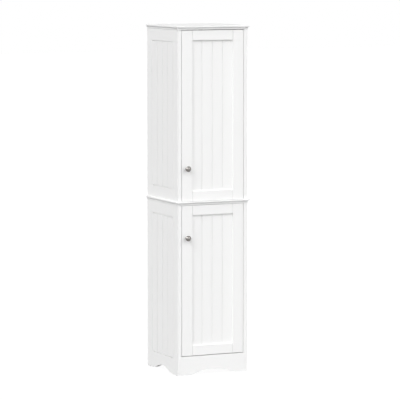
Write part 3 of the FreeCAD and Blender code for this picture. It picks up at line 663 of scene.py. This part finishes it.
def arc(steps: int) -> list[float]:
    """Angles from 0 to a right angle, in radians."""
    return [math.pi / 2 * step / steps for step in range(steps + 1)]


# ---- boards with a moulded edge ----


@dataclass
class MouldedBoard:
    """The top or middle board: a rounded lip, a cove and a plain band, mitred at the front corners."""

    node: str
    finishes: Finishes
    lip: float = 6.0 * MM
    lip_round: float = 1.5 * MM
    lip_step: float = 0.5 * MM
    overhang: float = 8.0 * MM
    reveal: float = 2.0 * MM
    soft: float = 0.35 * MM
    lip_faces: int = 6
    soft_faces: int = 3
    cove_faces: int = 10

    def section(self, thickness: float) -> Outline:
        """Works out the moulding from the top face down.

        Args:
            thickness: the board's thickness.

        Returns:
            Distances in from the lip and down from the top.
        """
        cove = self.overhang - self.lip_step - self.reveal
        band = self.overhang - self.reveal
        lip, soft = self.lip_round, self.soft
        points = [(lip * (1 - math.sin(turn)), lip * (1 - math.cos(turn))) for turn in arc(self.lip_faces)]
        points += [(soft * (1 - math.cos(turn)), self.lip - soft * (1 - math.sin(turn)))
                   for turn in arc(self.soft_faces)]
        points += [(self.lip_step + cove * math.sin(turn), self.lip + cove * (1 - math.cos(turn)))
                   for turn in arc(self.cove_faces)]
        points += [(band + soft * (1 - math.cos(turn)), thickness - soft * (1 - math.sin(turn)))
                   for turn in arc(self.soft_faces)]
        return points

    def build(self) -> None:
        """Builds the board in place of its node."""
        low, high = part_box(self.node)
        mesh = bmesh.new()
        bmesh.ops.create_grid(mesh, x_segments=1, y_segments=1, size=1.0)
        ring = list(mesh.edges)

        def at(step: tuple[float, float]) -> Callable[[Vector], Vector]:
            """Gives the move for a step of the section. The back edge only goes down.

            Args:
                step: distance in from the lip and down from the top.

            Returns:
                The move, which takes a vertex's place.
            """
            inwards, down = step

            def place(old: Vector) -> Vector:
                """Moves a vertex.

                Args:
                    old: where it was, which says what side it is on.

                Returns:
                    Where it goes.
                """
                x = low.x + inwards if old.x < 0 else high.x - inwards
                y = high.y if old.y > 0 else low.y + inwards
                return Vector((x, y, high.z - down))

            return place

        steps = self.section(high.z - low.z)
        for vert in mesh.verts:
            vert.co = at(steps[0])(vert.co)
        for step in steps[1:]:
            ring = ring_out(mesh, ring, at(step))
        bmesh.ops.edgeloop_fill(mesh, edges=ring)
        bmesh.ops.recalc_face_normals(mesh, faces=mesh.faces)
        finished(f"{self.node}_moulded", mesh, Body.CABINET, Slot.PAINT,
                 self.finishes.by_slot[Slot.PAINT], [self.node])


# ---- doors ----


@dataclass
class PlankedPanel:
    """A door's thin panel, scored with narrow upright lines as if it were four planks."""

    body: Body
    finishes: Finishes
    planks: int = 4
    line_width: float = 2.3 * MM
    line_depth: float = 2.8 * MM
    eased: float = 0.25 * MM
    eased_middle: float = 0.3
    hold: float = 0.5 * MM
    cuts: int = 6
    sharp_degrees: float = 40.0

    def steps(self) -> Outline:
        """Works out a line's section: eased edges, steep walls and a round bottom.

        Returns:
            Offsets from the line's middle, each with its depth.
        """
        half = self.line_width / 2
        bottom = half - self.eased
        edge = [(half + self.eased + self.hold, 0.0), (half + self.eased, 0.0),
                (half + self.eased * self.eased_middle, self.eased * self.eased_middle)]
        hollow = []
        for cut in range(self.cuts + 1):
            turn = math.pi * cut / self.cuts
            hollow.append((-half * math.cos(turn), self.line_depth - bottom * (1 - math.sin(turn))))
        return [(-offset, depth) for offset, depth in edge] + hollow + edge[::-1]

    def build(self) -> None:
        """Builds the panel in place of its node."""
        node = f"{self.body.value}_panel"
        low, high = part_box(node)
        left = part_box(f"{self.body.value}_left_stile")[1].x
        pitch = -2 * left / self.planks
        mesh = bmesh.new()
        bmesh.ops.create_cube(mesh, size=1.0)
        bmesh.ops.scale(mesh, vec=high - low, verts=mesh.verts)
        bmesh.ops.translate(mesh, vec=(low + high) / 2, verts=mesh.verts)
        pushed = []
        for line in range(1, self.planks):
            middle = left + line * pitch
            for offset, depth in self.steps():
                cut = bmesh.ops.bisect_plane(mesh, geom=mesh.verts[:] + mesh.edges[:] + mesh.faces[:],
                                             plane_co=(middle + offset, 0, 0), plane_no=(1, 0, 0))
                pushed += [(part, depth) for part in cut["geom_cut"]
                           if isinstance(part, BMVert) and part.co.y < (low.y + high.y) / 2]
        for vert, depth in pushed:
            vert.co.y += depth
        finished(f"{node}_scored", mesh, self.body, Slot.PAINT, self.finishes.by_slot[Slot.PAINT],
                 [node], self.sharp_degrees)


@dataclass
class Knob:
    """A round metal knob: a foot, a slim neck, a rounded rim and a low crown."""

    body: Body
    foot: tuple[float, float] = (7.0 * MM, 1.5 * MM)
    neck: tuple[float, float] = (5.0 * MM, 6.5 * MM)
    rim_inset: float = 1.4 * MM
    rim: tuple[float, float] = (13.5 * MM, 18.5 * MM)
    soft: float = 0.3 * MM
    turns: int = 72
    neck_faces: int = 22
    rim_faces: int = 12
    crown_faces: int = 14

    def profile(self, radius: float, reach: float) -> Outline:
        """Works out the knob's outline from its foot to the middle of its crown.

        Args:
            radius: the rim's radius.
            reach: how far the crown stands off the door.

        Returns:
            Radius and reach of each point.
        """
        foot_radius, foot_reach = self.foot
        neck_radius, neck_reach = self.neck
        inner = radius - self.rim_inset
        rim_low, rim_high = self.rim
        rim_middle = (radius, (rim_low + rim_high) / 2)
        crown = crown_point(inner, rim_high, reach)
        points = [(0.0, 0.0), (foot_radius, 0.0), (foot_radius, foot_reach - self.soft),
                  (foot_radius - self.soft, foot_reach)]
        points += through(points[-1], (neck_radius, neck_reach), (inner, rim_low), self.neck_faces)[1:]
        points += through((inner, rim_low), rim_middle, (inner, rim_high), self.rim_faces)[1:]
        points += through((inner, rim_high), crown, (0.0, reach), self.crown_faces)[1:]
        return points

    def build(self) -> None:
        """Builds the knob in place of its node."""
        node = f"{self.body.value}_knob"
        low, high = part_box(node)
        centre = Vector(((low.x + high.x) / 2, high.y, (low.z + high.z) / 2))
        mesh = turned(self.profile((high.x - low.x) / 2, high.y - low.y), self.turns)
        bmesh.ops.transform(mesh, matrix=Matrix.Translation(centre) @ facing(FORWARDS), verts=mesh.verts)
        metal = TurnedMetal(f"{self.body.value} knob metal", tuple(centre)).material()
        finished(f"{node}_turned", mesh, self.body, Slot.KNOB, metal, [node])


def crown_point(inner: float, level: float, reach: float) -> tuple[float, float]:
    """Finds the middle of the crown's arc, which meets the knob's axis squarely.

    Args:
        inner: the crown's radius.
        level: reach of its rim.
        reach: reach of its top.

    Returns:
        Radius and reach of the point.
    """
    half_turn = math.atan2(reach - level, inner)
    radius = inner / math.sin(2 * half_turn)
    return radius * math.sin(half_turn), reach - radius * (1 - math.cos(half_turn))


def through(start: tuple[float, float], middle: tuple[float, float], end: tuple[float, float],
            steps: int) -> Outline:
    """Points along the arc through three points.

    Args:
        start: first point.
        middle: a point on the arc between the ends.
        end: last point.
        steps: parts that the arc is cut into.

    Returns:
        The points, with both ends.
    """
    a, b, c = (Vector(point) for point in (start, middle, end))
    ab, ac = b - a, c - a
    cross = 2 * (ab.x * ac.y - ab.y * ac.x)
    centre = a + Vector((ac.y * ab.length_squared - ab.y * ac.length_squared,
                         ab.x * ac.length_squared - ac.x * ab.length_squared)) / cross
    spoke = a - centre
    first = math.atan2(spoke.y, spoke.x)
    turn = math.atan2((c - centre).y, (c - centre).x) - first
    half = math.atan2((b - centre).y, (b - centre).x) - first
    turn, half = turn % (2 * math.pi), half % (2 * math.pi)
    if half > turn:
        turn -= 2 * math.pi
    radius = spoke.length
    turns = [first + turn * step / steps for step in range(steps + 1)]
    return [tuple(centre + Vector((math.cos(turn), math.sin(turn))) * radius) for turn in turns]


# ---- fastenings ----

RIGHTWARDS = Vector((1, 0, 0))
FORWARDS = Vector((0, -1, 0))
UPWARDS = Vector((0, 0, 1))


def facing(direction: Vector) -> Matrix:
    """The turn that points the Z axis in a direction."""
    return UPWARDS.rotation_difference(direction).to_matrix().to_4x4()


@dataclass(frozen=True)
class Recess:
    """A cross-shaped recess in a round face."""

    reach: float
    half_width: float
    depth: float
    taper: float = 0.82
    spokes: int = 20

    def columns(self) -> list[float]:
        """Where the lines of the face's grid lie, from its left edge to its right edge."""
        right = [self.half_width, (self.reach + self.half_width) / 2, self.reach]
        return [-part for part in reversed(right)] + right

    def ring(self, radius: float, level: float) -> Callable[[Vector], Vector]:
        """Gives the move that puts a ring's vertices on evenly spaced spokes.

        Args:
            radius: the ring's radius.
            level: the ring's level.

        Returns:
            The move, which takes a vertex's place.
        """
        step = 2 * math.pi / self.spokes

        def place(old: Vector) -> Vector:
            """The vertex's new place, on the nearest spoke."""
            turn = (math.floor(math.atan2(old.y, old.x) / step) + 0.5) * step
            return Vector((radius * math.cos(turn), radius * math.sin(turn), level))

        return place

    def face(self, rings: Outline) -> BMesh:
        """A round piece with the cross sunk into its top face.

        Args:
            rings: radius and level of each ring, from the face's edge to the far end.

        Returns:
            The piece, closed at its far end.
        """
        columns = self.columns()
        cells = len(columns) - 1
        mesh = bmesh.new()
        bmesh.ops.create_grid(mesh, x_segments=cells, y_segments=cells, size=1.0)
        for vert in mesh.verts:
            vert.co.x, vert.co.y = (columns[round((part + 1) / 2 * cells)] for part in vert.co.xy)
        ring = [edge for edge in mesh.edges if edge.is_boundary]
        cross = [face for face in mesh.faces
                 if min(abs(part) for part in face.calc_center_median().xy) < self.half_width]
        for radius, level in rings:
            ring = ring_out(mesh, ring, self.ring(radius, level))
        bmesh.ops.edgeloop_fill(mesh, edges=ring)
        sunk = new_verts(bmesh.ops.extrude_face_region(mesh, geom=cross))
        bmesh.ops.delete(mesh, geom=cross, context="FACES")
        bmesh.ops.scale(mesh, vec=(self.taper, self.taper, 1), verts=sunk)
        bmesh.ops.translate(mesh, vec=(0, 0, -self.depth), verts=sunk)
        bmesh.ops.recalc_face_normals(mesh, faces=mesh.faces)
        return mesh


@dataclass
class Fastenings:
    """Like pieces that share a node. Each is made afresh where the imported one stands."""

    node: str
    body: Body
    slot: Slot
    finishes: Finishes
    twist: float = 0.9
    round_faces: int = 4

    def outward(self, low: Vector, high: Vector) -> Vector:
        """The way that a piece's visible end faces."""
        raise NotImplementedError

    def pattern(self, radius: float, length: float) -> BMesh:
        """One piece, its visible end at the origin and facing up."""
        raise NotImplementedError

    def build(self) -> None:
        """Builds all the pieces of the node."""
        places = []
        radius = length = 0.0
        for number, (low, high) in enumerate(islands(self.node)):
            outward = self.outward(low, high)
            length = abs((high - low).dot(outward))
            radius = max((high - low) - outward * (high - low).dot(outward)) / 2
            end = (low + high) / 2 + outward * length / 2
            places.append(Matrix.Translation(end) @ facing(outward)
                          @ Matrix.Rotation(number * self.twist, 4, "Z"))
        mesh = stamped(self.pattern(radius, length), places)
        material = self.finishes.by_slot[self.slot]
        finished(f"{self.node}_detailed", mesh, self.body, self.slot, material, [self.node])


@dataclass
class Screws(Fastenings):
    """Pan-headed screws with a cross recess."""

    head_faces: Vector = UPWARDS
    head_height: float = 2.0 * MM
    head_round: float = 1.0 * MM
    shank: float = 1.75 * MM
    tip: float = 2.5 * MM
    tip_taper: float = 6.0
    recess: Recess = Recess(1.55 * MM, 0.3 * MM, 1.1 * MM)

    def outward(self, low: Vector, high: Vector) -> Vector:
        """All heads of a node face the same way."""
        return self.head_faces

    def pattern(self, radius: float, length: float) -> BMesh:
        """Shapes one screw.

        Args:
            radius: the head's radius.
            length: the whole length.

        Returns:
            The screw.
        """
        flat = radius - self.head_round
        rings = [(flat + self.head_round * math.sin(turn), -self.head_round * (1 - math.cos(turn)))
                 for turn in arc(self.round_faces)]
        rings += [(radius, -self.head_height), (self.shank, -self.head_height),
                  (self.shank, self.tip - length), (self.shank / self.tip_taper, -length)]
        return self.recess.face(rings)


@dataclass
class CamLocks(Fastenings):
    """Die-cast cams that draw the boards together, with a cross recess and a waisted body.

    The groove's points lie so many widths of the edge in from it and down.
    """

    edge: float = 0.4 * MM
    groove: tuple[tuple[float, float], ...] = ((2.0, 0.0), (1.6, 0.6), (1.2, 0.0), (0.0, 0.0))
    lip: float = 2.6 * MM
    waist: float = 5.6 * MM
    slope: float = 1.2 * MM
    recess: Recess = Recess(3.9 * MM, 0.85 * MM, 2.4 * MM)

    def outward(self, low: Vector, high: Vector) -> Vector:
        """The shelf's cams face down, and those of the sides face the middle of the cabinet."""
        inwards = RIGHTWARDS if low.x < 0 else -RIGHTWARDS
        return -UPWARDS if high.z - low.z < high.x - low.x else inwards

    def pattern(self, radius: float, length: float) -> BMesh:
        """Shapes one cam.

        Args:
            radius: the rim's radius.
            length: the whole length.

        Returns:
            The cam.
        """
        inner = radius - self.edge
        rings = [(inner - self.edge * inwards, -self.edge * down) for inwards, down in self.groove]
        rings += [(radius, -self.edge), (radius, -self.lip), (self.waist, -self.lip - self.slope),
                  (self.waist, self.lip + self.slope - length), (radius, self.lip - length),
                  (radius, self.edge - length), (inner, -length)]
        return self.recess.face(rings)


@dataclass
class ShelfPegs(Fastenings):
    """Steel pins with a collar and a domed end."""

    collar_from_end: float = 8.0 * MM
    collar: float = 1.0 * MM
    pin: float = 2.5 * MM
    soft: float = 0.3 * MM
    dome: float = 0.5
    segments: int = 28
    round_faces: int = 6

    def outward(self, low: Vector, high: Vector) -> Vector:
        """Each peg's free end faces the middle of the cabinet."""
        return RIGHTWARDS if low.x < 0 else -RIGHTWARDS

    def pattern(self, radius: float, length: float) -> BMesh:
        """Shapes one peg.

        Args:
            radius: the collar's radius.
            length: the whole length.

        Returns:
            The peg.
        """
        dome = [(self.pin * math.sin(turn), -self.pin * self.dome * (1 - math.cos(turn)))
                for turn in arc(self.round_faces)]
        start, end = -self.collar_from_end, -self.collar_from_end - self.collar
        return turned(dome + [
            (self.pin, start + self.soft), (self.pin + self.soft, start), (radius - self.soft, start),
            (radius, start - self.soft), (radius, end), (self.pin, end),
            (self.pin, self.soft * 2 - length), (self.pin - self.soft * 2, -length), (0.0, -length)],
            self.segments)


@dataclass
class Nails(Fastenings):
    """Short nails with a low domed head."""

    head: float = 1.0 * MM
    dome: float = 0.7
    shank: float = 0.8 * MM
    segments: int = 12

    def outward(self, low: Vector, high: Vector) -> Vector:
        """The heads are on the cabinet's back."""
        return -FORWARDS

    def pattern(self, radius: float, length: float) -> BMesh:
        """Shapes one nail.

        Args:
            radius: the head's radius.
            length: the whole length.

        Returns:
            The nail.
        """
        dome = [(radius * math.sin(turn), -self.head * self.dome * (1 - math.cos(turn)))
                for turn in arc(self.round_faces)]
        return turned(dome + [(radius, -self.head), (self.shank, -self.head),
                              (self.shank, self.shank * 2 - length), (0.0, -length)], self.segments)


@dataclass
class Glides(Fastenings):
    """Nailed plastic glides under the feet."""

    pad: float = 2.0 * MM
    soft: float = 0.5 * MM
    nail: float = 1.0 * MM
    seat: tuple[float, float] = (2.2 * MM, 0.6 * MM)
    seat_floor: float = 0.8
    segments: int = 40

    def outward(self, low: Vector, high: Vector) -> Vector:
        """The pads face the floor."""
        return -UPWARDS

    def pattern(self, radius: float, length: float) -> BMesh:
        """Shapes one glide, with the nail's seat in its underside.

        Args:
            radius: the pad's radius.
            length: the whole length, with the nail.

        Returns:
            The glide.
        """
        seat, depth = self.seat
        edge = [(radius - self.soft * (1 - math.sin(turn)), -self.soft * (1 - math.cos(turn)))
                for turn in arc(self.round_faces)]
        return turned([(0.0, -depth), (seat * self.seat_floor, -depth), (seat, 0.0)] + edge + [
            (radius, self.soft - self.pad), (radius - self.soft, -self.pad), (self.nail, -self.pad),
            (self.nail, self.nail * 2 - length), (0.0, -length)], self.segments)


# ---- plates, cups and catches ----


@dataclass
class EasedFitting:
    """A pressed or moulded fitting, whose sharp edges are broken as tumbling or a mould leaves them."""

    node: str
    body: Body
    slot: Slot
    finishes: Finishes
    soft: float = 0.25 * MM
    steps: int = 2
    flat_degrees: float = 1.0
    sharp_degrees: float = 40.0

    def build(self) -> None:
        """Builds the fitting from a joined copy of its node."""
        mesh = merged(self.node)
        bmesh.ops.dissolve_limit(mesh, angle_limit=math.radians(self.flat_degrees), verts=mesh.verts,
                                 edges=mesh.edges)
        sharp = [edge for edge in mesh.edges
                 if edge.is_manifold and edge.calc_face_angle() > math.radians(self.sharp_degrees)]
        bmesh.ops.bevel(mesh, geom=sharp, offset=self.soft, affect="EDGES", segments=self.steps,
                        profile=ROUND, material=-1, clamp_overlap=True)
        material = self.finishes.by_slot[self.slot]
        finished(f"{self.node}_eased", mesh, self.body, self.slot, material, [self.node])


@dataclass
class CatchMagnets:
    """The ferrite block of each catch, between two steel pole plates that stand a little proud."""

    finishes: Finishes
    node: str = "catch_magnets"
    plate: float = 2.5 * MM
    proud: float = 1.0 * MM
    soft: float = 0.25 * MM

    def build(self) -> None:
        """Builds the blocks and the plates in place of their node."""
        blocks, plates = [], []
        inset = Vector((0, self.proud, self.plate))
        for low, high in islands(self.node):
            blocks.append(block(low + inset, high - Vector((0, 0, self.plate)), self.soft))
            plates.append(block(low, Vector((high.x, high.y, low.z + self.plate)), self.soft))
            plates.append(block(Vector((low.x, low.y, high.z - self.plate)), high, self.soft))
        finished("catch_ferrite_blocks", joined(blocks), Body.CABINET, Slot.MAGNET,
                 self.finishes.by_slot[Slot.MAGNET], [self.node])
        finished("catch_pole_plates", joined(plates), Body.CABINET, Slot.MAGNET,
                 self.finishes.by_slot[Slot.STEEL])


@dataclass
class Fittings:
    """All the small hardware, in the order in which it is screwed on."""

    finishes: Finishes

    def sections(self) -> list[tuple[str, Body]]:
        """The upper and the lower box, each with its door."""
        return [("upper", Body.UPPER_DOOR), ("lower", Body.LOWER_DOOR)]

    def fastenings(self) -> list[Fastenings]:
        """Lists the screws, cams, pegs, nails and glides.

        Returns:
            One row for each node.
        """
        steel = (Slot.STEEL, self.finishes)
        rows: list[Fastenings] = [
            Screws("bracket_screws", Body.CABINET, *steel, head_faces=-UPWARDS),
            Screws("catch_screws", Body.CABINET, *steel, head_faces=RIGHTWARDS),
            Screws("hinge_plate_screws", Body.CABINET, *steel, head_faces=-RIGHTWARDS),
            Screws("hinge_arm_screws", Body.CABINET, *steel, head_faces=-RIGHTWARDS),
            CamLocks("cam_locks", Body.CABINET, Slot.ZINC, self.finishes),
            ShelfPegs("shelf_pegs", Body.CABINET, *steel),
            Nails("back_panel_nails", Body.CABINET, *steel),
            Glides("foot_glides", Body.CABINET, Slot.GLIDE, self.finishes),
        ]
        for _, door in self.sections():
            rows.append(Screws(f"{door.value}_cup_screws", door, *steel, head_faces=-FORWARDS))
            rows.append(Screws(f"{door.value}_knob_screw", door, *steel, head_faces=-FORWARDS))
        return rows

    def fittings(self) -> list[EasedFitting]:
        """Lists the brackets, hinges, catches and strikes.

        Returns:
            One row for each node.
        """
        steel = (Slot.STEEL, self.finishes)
        rows = [EasedFitting("wall_brackets", Body.CABINET, *steel)]
        for section, door in self.sections():
            for end in ("bottom", "top"):
                rows.append(EasedFitting(f"{section}_{end}_hinge_plate", Body.CABINET, *steel))
                rows.append(EasedFitting(f"{section}_{end}_hinge_arm", Body.CABINET, *steel))
                rows.append(EasedFitting(f"{door.value}_{end}_hinge_cup", door, *steel, soft=0.2 * MM))
            rows.append(EasedFitting(f"{door.value}_strike", door, *steel))
            rows.append(EasedFitting(f"{section}_catch", Body.CABINET, Slot.CATCH, self.finishes,
                                     soft=0.5 * MM))
        return rows

    def build(self) -> None:
        """Builds every fitting."""
        for row in self.fittings() + self.fastenings():
            row.build()
        CatchMagnets(self.finishes).build()


# ---- studio ----


@dataclass(frozen=True)
class SoftBox:
    """Wide, soft and parallel light, so that it is even from the top of the cabinet to its feet."""

    name: str
    azimuth: float
    elevation: float
    strength: float
    spread: float

    def build(self) -> None:
        """Puts the light in the scene."""
        data = bpy.data.lights.new(self.name, "SUN")
        data.energy = self.strength
        data.angle = math.radians(self.spread)
        lamp = bpy.data.objects.new(self.name, data)
        turn = Matrix.Rotation(math.radians(self.azimuth), 4, "Z")
        lamp.matrix_world = turn @ Matrix.Rotation(math.radians(90 - self.elevation), 4, "X")
        bpy.context.scene.collection.objects.link(lamp)


@dataclass
class Studio:
    """Camera, floor, sky and lamps."""

    eye: tuple[float, float, float] = (-4.756, -10.3115, 1.8944)
    yaw: float = 24.803
    pitch: float = 5.742
    focal_pixels: float = 2588.6
    frame_pixels: int = 400
    sensor: float = 36.0
    clip: tuple[float, float] = (0.1, 200.0)
    sky: float = 0.15
    lamps: tuple[SoftBox, ...] = (SoftBox("left light", -60.0, 35.0, 2.06, 45.0),
                                  SoftBox("right light", 30.0, 26.0, 1.84, 70.0),
                                  SoftBox("side light", -95.0, 25.0, 0.73, 80.0),
                                  SoftBox("front light", -25.0, 6.0, 0.25, 15.0))
    floor_size: float = 60.0
    floor_glow: float = 0.86
    glow_strength: float = 1.12
    floor_roughness: float = 0.9
    floor_colour: Colour = (0.6, 0.6, 0.6)
    floor_bounce: Colour = (0.2, 0.2, 0.2)

    def camera(self) -> None:
        """Sets up the camera where the photograph was taken from."""
        data = bpy.data.cameras.new("camera")
        data.sensor_width = self.sensor
        data.lens = self.focal_pixels / self.frame_pixels * data.sensor_width
        data.clip_start, data.clip_end = self.clip
        camera = bpy.data.objects.new("camera", data)
        turn = Matrix.Rotation(math.radians(-self.yaw), 4, "Z")
        tilt = Matrix.Rotation(math.radians(90 - self.pitch), 4, "X")
        camera.matrix_world = Matrix.Translation(self.eye) @ turn @ tilt
        bpy.context.scene.collection.objects.link(camera)
        bpy.context.scene.camera = camera

    def world(self) -> None:
        """Makes an even white sky, at full strength where it is seen and lower where it lights."""
        world = bpy.data.worlds.new("sky")
        world.use_nodes = True
        tree = world.node_tree
        background = tree.nodes["Background"]
        background.inputs["Color"].default_value = (1, 1, 1, 1)
        choice = tree.nodes.new("ShaderNodeMix")
        choice.inputs["B"].default_value = 1.0
        choice.inputs["A"].default_value = self.sky
        tree.links.new(self.seen(tree), choice.inputs["Factor"])
        tree.links.new(choice.outputs["Result"], background.inputs["Strength"])
        bpy.context.scene.world = world

    def seen(self, tree: bpy.types.NodeTree) -> bpy.types.NodeSocket:
        """Tells what is seen straight on, in gloss or through glass from other light.

        Args:
            tree: the node tree that gets the nodes.

        Returns:
            The socket of a value that is 1 for what is seen and 0 for other light.
        """
        path = tree.nodes.new("ShaderNodeLightPath")
        total = path.outputs["Is Camera Ray"]
        for name in ("Is Glossy Ray", "Is Transmission Ray"):
            add = tree.nodes.new("ShaderNodeMath")
            add.operation = "MAXIMUM"
            tree.links.new(total, add.inputs[0])
            tree.links.new(path.outputs[name], add.inputs[1])
            total = add.outputs[0]
        return total

    def floor(self) -> None:
        """Lays a pale floor that looks white but keeps a soft shadow."""
        mesh = bmesh.new()
        bmesh.ops.create_grid(mesh, x_segments=1, y_segments=1, size=self.floor_size / 2)
        data = bpy.data.meshes.new("floor")
        mesh.to_mesh(data)
        mesh.free()
        floor = bpy.data.objects.new("floor", data)
        bpy.context.scene.collection.objects.link(floor)
        graph = Graph("pale floor")
        graph.set(Base_Color=graph.blend(self.seen(graph.tree), self.floor_bounce, self.floor_colour))
        graph.set(Roughness=self.floor_roughness)
        glow = graph.node("Emission")
        graph.feed(glow.inputs["Strength"], self.glow_strength)
        mix = graph.node("MixShader")
        graph.feed(mix.inputs[0], graph.math("MULTIPLY", self.seen(graph.tree), self.floor_glow))
        graph.feed(mix.inputs[1], graph.shader.outputs[0])
        graph.feed(mix.inputs[2], glow.outputs[0])
        graph.feed(graph.tree.nodes["Material Output"].inputs["Surface"], mix.outputs[0])
        data.materials.append(graph.material)

    def build(self) -> None:
        """Sets up everything round the cabinet."""
        bpy.context.scene.view_settings.view_transform = "Standard"
        self.camera()
        self.world()
        self.floor()
        for lamp in self.lamps:
            lamp.build()


def main() -> None:
    """Dresses the cabinet."""
    logging.basicConfig(level=logging.INFO, format="%(name)s: %(message)s", stream=sys.stdout)
    finishes = Finishes()
    finishes.dress_frame()
    Studio().build()
    for node in ("top_board", "mid_board"):
        MouldedBoard(node, finishes).build()
    for body in (Body.UPPER_DOOR, Body.LOWER_DOOR):
        PlankedPanel(body, finishes).build()
        Knob(body).build()
    Fittings(finishes).build()


if __name__ == "__main__":
    main()
